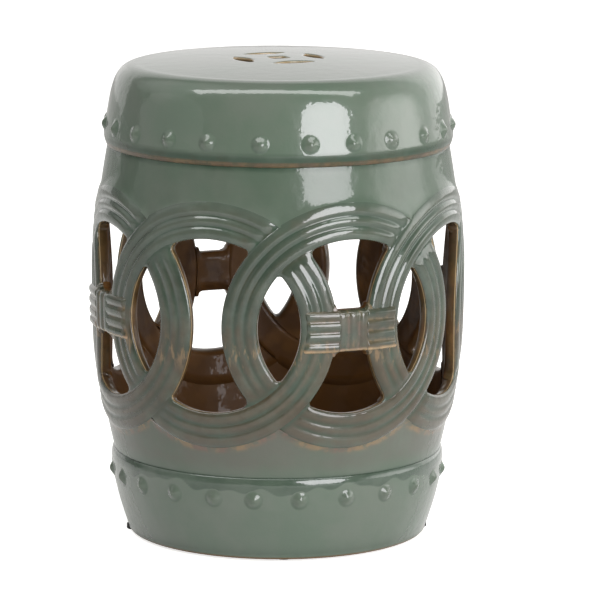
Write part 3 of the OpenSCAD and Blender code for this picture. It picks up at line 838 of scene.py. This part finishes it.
# Wall of a hole: seven rows round its upper edge, a quarter circle, then four down to the wider lower edge.
# The glaze thins over the edge, ends in a cream line and gives way to iron
def holeWall(loop):
    bend = seat["holeRound"]
    turns, downs = np.linspace(0, math.pi / 2, 7), np.array([0.12, 0.3, 0.6, 1.0])
    topZ = crownZ(np.hypot(*grown(loop, 0.0).T)) - bend
    rows = []
    for turn in turns:
        ring = grown(loop, bend * (1 - math.sin(turn)))
        rows.append(np.column_stack([ring, crownZ(np.hypot(*ring.T)) - bend * (1 - math.cos(turn))]))
    for down in downs:
        ring = grown(loop, bend if down == 1 else 0.0)
        rows.append(np.column_stack([ring, topZ + (underZ(np.hypot(*ring.T)) - topZ) * down]))
    iron = np.append(0 * turns, np.minimum(1.0, downs * 5))
    rim = np.append(0.9 * np.sin(turns) ** 2, np.maximum(0.0, 0.8 - downs * 4))
    cream = 0.6 * np.exp(-((np.arange(len(rows)) - 5.0) / 1.5) ** 2)
    return sheet(np.stack(rows), iron=iron[:, None], rim=rim[:, None], cream=cream[:, None], calm=1.0)


# The pierced seat: the turned profile outside and inside, the two patches, and a rounded wall round each
# hole
def seatSheets():
    wall, lipR, lipZ = barrel["wall"], seat["lipRadius"], seat["lipZ"]
    outside = seatProfile()
    q = np.linspace(1, 0, 14)[1:]
    curve = bezier(shoulderCurve, q)
    r = np.linspace(seat["coinPatch"], seat["flatRadius"] - wall, 12)
    lip = [[lipR - wall, seat["skirtZ"]], [lipR - wall, lipZ + 1], [lipR - wall + 1, lipZ], [lipR - 5, lipZ],
           [lipR - 1.2, lipZ]]
    profile = np.concatenate([outside, np.stack([r, underZ(r)], 1),
                              np.stack([curve[:, 0] - wall, curve[:, 1] - wall * q], 1), lip])
    points = turned(profile, seat["columns"])
    isOutside = np.arange(len(profile)) < len(outside)
    above = profile[:, 1] - lipZ
    worn = seat["lipShare"] * smoothStep(*seat["lipHeight"], above)
    # the roll over the lip is darkened by glaze pooled there and by painted shade where it turns down to the
    # floor; its tone follows
    pool = isOutside * smoothStep(*seat["poolHeight"], above)
    marks = {"iron": np.where(isOutside, worn, 1), "pool": pool, "rim": isOutside * worn, "tone": pool * 0.5,
             "matt": isOutside * smoothStep(*seat["mattHeight"], above) * 1.5,
             "calm": smoothStep(*seat["calmZ"], profile[:, 1])}
    # the turned part is open between its last outer and first inner rows, where the pierced patch closes it
    marks = {key: np.roll(value, -len(outside))[None, :] for key, value in marks.items()}
    body = sheet(np.roll(points, -len(outside), 1), closeRows=True, closeCols=False, **marks)
    circle = points[:, len(outside) - 1, :2]
    outlines = [leafOutline(k * math.pi / 2) for k in range(4)] + [squareOutline()]
    wide = [grown(loop, seat["holeRound"]) for loop in outlines]
    topVerts, topFaces = patchTriangles(circle, wide, crownZ, True)
    lowVerts, lowFaces = patchTriangles(circle, wide, underZ, False)
    return [body, (topVerts, topFaces, {"calm": np.ones(len(topVerts))}),
            (lowVerts, lowFaces, {"iron": np.ones(len(lowVerts))}), *[holeWall(loop) for loop in outlines]]


# Joins sheets that share their borders into one skin: points that agree to a thousandth of a millimetre are
# merged
def weld(sheets):
    points, quads, marks = joined(sheets)
    keys = np.round(points * 1000).astype(np.int64)
    _, first, inverse = np.unique(keys, axis=0, return_index=True, return_inverse=True)
    return points[first], inverse.ravel()[quads], {key: value[first] for key, value in marks.items()}


# Turns every face of a piece outwards, after its doubles are merged
def turnOutwards(piece):
    work = bmesh.new()
    work.from_mesh(piece.data)
    bmesh.ops.remove_doubles(work, verts=work.verts, dist=1e-6)
    bmesh.ops.recalc_face_normals(work, faces=work.faces)
    work.to_mesh(piece.data)
    openEdges = sum(len(e.link_faces) != 2 for e in work.edges)
    work.free()
    print(piece.name, "open edges", openEdges)


turnOutwards(makePiece("seatCap", [weld(seatSheets())], celadonGlaze, ["seat_cap"], autoTurn=False))
print("seat made")

# Foot: a thrown band with a ledge, a studded face, a taper to the floor and a rounded lower edge
foot = {
    "ledgeRound": 8.0,     # height of the rounding up to the ledge
    "bandRadius": 152.9,
    "bandHeight": 21.0,
    "bandLean": 2.6,
    "lowRadius": 137.5,
    "lowZ": 2.0,
    "lowRound": 4.0,
    "bow": 0.02,           # how far the taper swells, as a share of its height
    "rim": 16.0,           # width of the flat underside
    "ironZ": (5.0, 2.6),
    # thick glaze has run down from the ledge: its lower limit, how soft that is, how thick the glaze, and
    # the waves in the limit, each with its height, its count round the foot and its start
    "dripZ": 68.5,
    "dripSoft": 0.8,
    "dripShare": 0.85,
    "dripWaves": ((2.2, 5, 1), (2.0, 12, 2), (1.8, 23, 0), (1.4, 37, 1)),
    "columns": 480,
}
bandZ = barrel["waistZ"] - foot["ledgeRound"]


# Profile once round: the rounded lower edge, the taper with a slight bow, the band, the ledge's quarter of
# an ellipse, and down the inside to the flat underside. The second value is the number of its outer points
def footProfile():
    wall, waist, ledgeZ = barrel["wall"], barrel["waistRadius"], barrel["waistZ"]
    low, lowR, bend = foot["lowZ"], foot["lowRadius"], foot["lowRound"]
    flat = lowR - bend - foot["rim"]
    taperZ, taperR = bandZ - foot["bandHeight"], foot["bandRadius"] - foot["bandLean"]
    a = np.linspace(math.pi / 2, 0, 9)
    lower = np.stack([lowR - bend + bend * np.cos(a), low + bend * (1 - np.sin(a))], 1)
    t = np.linspace(0, 1, 30)[1:]
    rise = taperZ - low - bend
    bow = 4 * foot["bow"] * rise * t * (1 - t)
    taper = np.stack([lowR + (taperR - lowR) * t + bow, low + bend + rise * t], 1)
    band = np.linspace((taperR, taperZ), (foot["bandRadius"], bandZ), 32)[1:]
    b = np.linspace(0, math.pi / 2, 12)[1:]
    ledge = np.stack([waist + (foot["bandRadius"] - waist) * np.cos(b),
                      bandZ + foot["ledgeRound"] * np.sin(b)], 1)
    inner = [[waist - 2.5, ledgeZ], [waist - 5, ledgeZ], [waist - wall + 0.4, ledgeZ],
             [waist - wall, ledgeZ - 0.2], [waist - wall, ledgeZ - 0.8], [taperR - wall + 0.2, taperZ + 9],
             [taperR - wall, taperZ], [(taperR + lowR) / 2 - 15, taperZ / 2], [flat + 0.8, low + 3],
             [flat + 3, low]]
    outer = np.concatenate([lower, taper, band, ledge])
    return np.concatenate([outer, inner]), len(outer)


footPoints, outerCount = footProfile()
footZ = footPoints[:, 1]
isOuter = np.arange(len(footPoints)) < outerCount
footIron = np.where(isOuter, smoothStep(*foot["ironZ"], footZ), 1.0)
around = np.arange(foot["columns"])[:, None] / foot["columns"] * 2 * math.pi
dripZ = foot["dripZ"]
for height, count, start in foot["dripWaves"]:
    dripZ = dripZ + height * np.sin(count * around + start)
drips = smoothStep(dripZ - foot["dripSoft"], dripZ + foot["dripSoft"], footZ) * foot["dripShare"]
# a little of it also pools above the lower edge
footPool = isOuter * np.maximum(np.exp(-np.abs(footZ - 8) / 5) * 0.4, drips)
footSheet = sheet(turned(footPoints, foot["columns"]), closeRows=True, iron=footIron, pool=footPool)
makePiece("footRing", [footSheet], celadonGlaze, ["foot_ring"])

# Studs: low buttons of clay pressed on in rows, softened by the glaze at their feet
studs = {
    "count": 24,
    "radius": 6.5,
    "rise": 3.75,
    "swell": 1.4,          # where the glazed stud has run out into the band, in radii
    "reach": 1.5,          # where its sheet ends, a little under the band
    "dive": 0.05,
    "depth": 1.5,
    "upperZ": 380.0,
    "lowerZ": 59.5,
    # places of eight neighbouring studs, degrees round from the front; the other sixteen share what is left
    "upperTurns": (-76.9, -60.9, -46.3, -28.7, -12.6, 1.8, 16.5, 32.2),
    "lowerTurns": (-76.4, -60.4, -44.9, -30.9, -15.2, 1.4, 17.0, 31.9),
}


# Studs on a band: over its disc (x, y) each stands out by half a cosine wave, so that its foot has no edge.
# Glaze has pooled round it, more of it below, and is thin on top
def studSheets(z, radiusOf, turns):
    sheets = []
    rho = np.linspace(0.001, studs["reach"], 34)[:, None]
    phi = np.arange(40)[None, :] / 40 * 2 * math.pi
    h = studs["rise"] * (0.5 + 0.5 * np.cos(math.pi * np.minimum(rho / studs["swell"], 1)))
    h = h - studs["dive"] * (rho > studs["swell"])
    x, y = rho * studs["radius"] * np.cos(phi), rho * studs["radius"] * np.sin(phi)
    pool = np.exp(-((rho - 1.1) / 0.25) ** 2) * (0.25 - 0.2 * np.sin(phi))
    crest = np.clip(1 - rho, 0, 1) ** 0.7 * 0.5 + 0 * phi
    rest = studs["count"] - len(turns)
    step = (turns[0] + 360 - turns[-1]) / (rest + 1)
    for middle in np.radians([*turns, *(turns[-1] + step * np.arange(1, rest + 1))]):
        base = radiusOf(z + y)
        turn = middle + x / base
        r = np.concatenate([base + h, base[-1:] - studs["depth"]])   # the last row lies under the band
        grids = (turn, z + y, pool, crest)
        turn, up, pools, crests = [np.concatenate([grid, grid[-1:]]) for grid in grids]
        points = np.stack([r * np.sin(turn), -r * np.cos(turn), up], -1)
        sheets.append(sheet(points, capEnds=True, pool=pools, crest=crests, matt=0.7))
    return sheets


# Radius of the seat's band at height z, which leans in upwards
def upperBand(z):
    return seat["skirtRadius"] - lean * (z - seat["skirtZ"])


# Radius of the foot's band at height z, which leans in downwards
def lowerBand(z):
    return foot["bandRadius"] - foot["bandLean"] / foot["bandHeight"] * (bandZ - z)


upperStuds = studSheets(studs["upperZ"], upperBand, studs["upperTurns"])
lowerStuds = studSheets(studs["lowerZ"], lowerBand, studs["lowerTurns"])
makePiece("upperStuds", upperStuds, celadonGlaze, ["upper_studs"])
makePiece("lowerStuds", lowerStuds, celadonGlaze, ["lower_studs"])

# Pads: four black rubber discs under the rim. The two at the sides lie further out and reach up round the
# edge
pads = {
    "firstTurn": 70.0,                         # degrees from +X
    "middles": (120.0, 131.0, 120.0, 131.0),   # distance of each pad's middle from the axis
    "tops": (2.0, 5.0, 2.0, 5.0),
    "radii": (0.01, 4.0, 7.4, 7.8, 8.0),       # from the middle of a face out to its edge
    "lifts": (0.0, 0.0, 0.0, 0.2, 0.7),        # how far the face has rounded off there
    "columns": 40,
}
padSheets = []
for k, (middle, top) in enumerate(zip(pads["middles"], pads["tops"])):
    turn = math.radians(pads["firstTurn"] + 360 * k / len(pads["middles"]))
    face = np.column_stack([pads["radii"], pads["lifts"]])
    disc = np.concatenate([face, (face * (1, -1) + (0, top))[::-1]])
    points = turned(disc, pads["columns"]).transpose(1, 0, 2)
    points = points + np.array([middle * math.cos(turn), middle * math.sin(turn), 0])
    padSheets.append(sheet(points, capEnds=True))
makePiece("footPads", padSheets, blackRubber, ["foot_pads"])
print("foot, studs and pads made")

# Studio: a tall soft window light at the right front, a wide soft panel overhead, a pale paper floor, white
# to the eye all round, and surroundings that are bright behind, dim in front and carry some soft lights
studio = {
    "windowLight": {"turn": 31, "height": 0.85, "distance": 2.4, "size": (1.45, 1.65), "radiance": 8.6,
                    "shape": "ELLIPSE", "colour": (0.985, 0.965, 1.0)},
    "topPanel": {"turn": -4, "height": 2.3, "distance": 0.85, "size": (4.1, 0.7), "radiance": 5.0,
                 "shape": "RECTANGLE", "colour": (1.0, 1.0, 1.0)},
    "aim": (0, 0, 0.25),
    # surroundings: degrees to the right of the camera, height, cosines of the angles where a light ends and
    # where it is full, its strength beyond and within them, and how it joins the ones before
    "surroundings": {
        "sweep": (172.0, 0.0, 0.58, 0.72, 0.27, 0.77, None),          # the white sweep behind
        "board": (-150.5, 0.0, 0.922, 0.932, 0.0, 0.85, "MAXIMUM"),   # sharp edge, at the left and behind
        "side": (120.0, 0.0, 0.45, 0.95, 0.0, 0.88, "ADD"),           # broad, at the right and behind
        "glow": (85.0, 0.0, 0.86, 0.985, 0.0, 2.45, "ADD"),           # soft, on the right
        "fill": (-78.0, 0.0, 0.865, 0.885, 0.0, 0.33, "ADD"),         # faint, on the left
        "sky": (-100.0, 1.0, 0.82, 0.98, 0.0, 0.6, "ADD"),            # high up on the left
    },
    "surroundingsColour": (1, 0.99, 0.975, 1),
    "floorColour": "#eeeeec",
    "floorRoughness": 0.9,
    "floorGlow": 0.9,         # the paper is lit from below as well, so that it stays pale
    "floorHalf": 30.0,
    "cameraPlace": (-1.4596, -3.4470, 0.8971),
    "cameraTurn": 22.95,      # degrees that the camera stands to the left of the front
    "target": 0.219,
    "lens": 248.7,
    "roll": 0.0042,
    "shift": (0.037, -0.0096),
}


# Point at a height and distance, so many degrees to the right of the camera, seen from above
def studioPoint(turn, height, distance):
    angle = math.radians(turn - studio["cameraTurn"])
    return Vector((distance * math.sin(angle), -distance * math.cos(angle), height))


# An area light turned to its aim. Its power is pi times its area times the wanted radiance, and an ellipse
# fills less of its rectangle
def softBox(name, values):
    light = bpy.data.lights.new(name, "AREA")
    light.shape = values["shape"]
    light.size, light.size_y = values["size"]
    filled = math.pi / 4 if values["shape"] == "ELLIPSE" else 1.0
    light.energy = values["radiance"] * light.size * light.size_y * math.pi * filled
    light.color = values["colour"]
    box = bpy.data.objects.new(name, light)
    box.location = studioPoint(values["turn"], values["height"], values["distance"])
    box.rotation_euler = (Vector(studio["aim"]) - box.location).to_track_quat("-Z", "Y").to_euler()
    bpy.context.scene.collection.objects.link(box)


for name in ("windowLight", "topPanel"):
    softBox(name, studio[name])

world = bpy.data.worlds.new("studioWorld")
bpy.context.scene.world = world
world.use_nodes = True
worldTree = world.node_tree
worldTree.nodes.clear()
direction = addNode(worldTree, "TexCoord", output="Generated")
strength = None
for turn, height, far, near, low, high, operation in studio["surroundings"].values():
    middle = studioPoint(turn, height, 1).normalized()
    facing = addNode(worldTree, "VectorMath", direction, middle, output="Value", operation="DOT_PRODUCT")
    part = addNode(worldTree, "MapRange", facing, far, near, low, high, interpolation_type="SMOOTHSTEP")
    strength = addNode(worldTree, "Math", strength, part, operation=operation) if operation else part
soft = addNode(worldTree, "Background", Color=studio["surroundingsColour"], Strength=strength)
white = addNode(worldTree, "Background", Color=(1, 1, 1, 1), Strength=1.0)
toCamera = addNode(worldTree, "LightPath", output="Is Camera Ray")
addNode(worldTree, "OutputWorld", addNode(worldTree, "MixShader", toCamera, soft, white))

paper = bpy.data.materials.new("floorPaper")
paper.use_nodes = True
paperTree = paper.node_tree
toCamera = addNode(paperTree, "LightPath", output="Is Camera Ray")
glow = addNode(paperTree, "Math", toCamera, studio["floorGlow"], operation="MULTIPLY")
paperShader = paperTree.nodes["Principled BSDF"]
paperShader.inputs["Base Color"].default_value = linearColour(studio["floorColour"])
paperShader.inputs["Emission Color"].default_value = linearColour(studio["floorColour"])
paperShader.inputs["Roughness"].default_value = studio["floorRoughness"]
paperTree.links.new(glow, paperShader.inputs["Emission Strength"])
floorMesh = bpy.data.meshes.new("floor")
size = studio["floorHalf"]
floorCorners = [(-size, -size, 0), (size, -size, 0), (size, size, 0), (-size, size, 0)]
floorMesh.from_pydata(floorCorners, [], [(0, 1, 2, 3)])
floorMesh.materials.append(paper)
floor = bpy.data.objects.new("floor", floorMesh)
bpy.context.scene.collection.objects.link(floor)

camera = bpy.data.objects.new("camera", bpy.data.cameras.new("camera"))
camera.data.lens = studio["lens"]
camera.data.sensor_width = 36.0
camera.data.clip_end = 200.0
camera.data.shift_x, camera.data.shift_y = studio["shift"]
camera.location = studio["cameraPlace"]
look = (Vector((0, 0, studio["target"])) - camera.location).to_track_quat("-Z", "Y").to_matrix()
camera.rotation_euler = (look @ Matrix.Rotation(studio["roll"], 3, "Z")).to_euler()
bpy.context.scene.collection.objects.link(camera)
bpy.context.scene.camera = camera
bpy.context.scene.view_settings.view_transform = "Standard"
print("studio made")
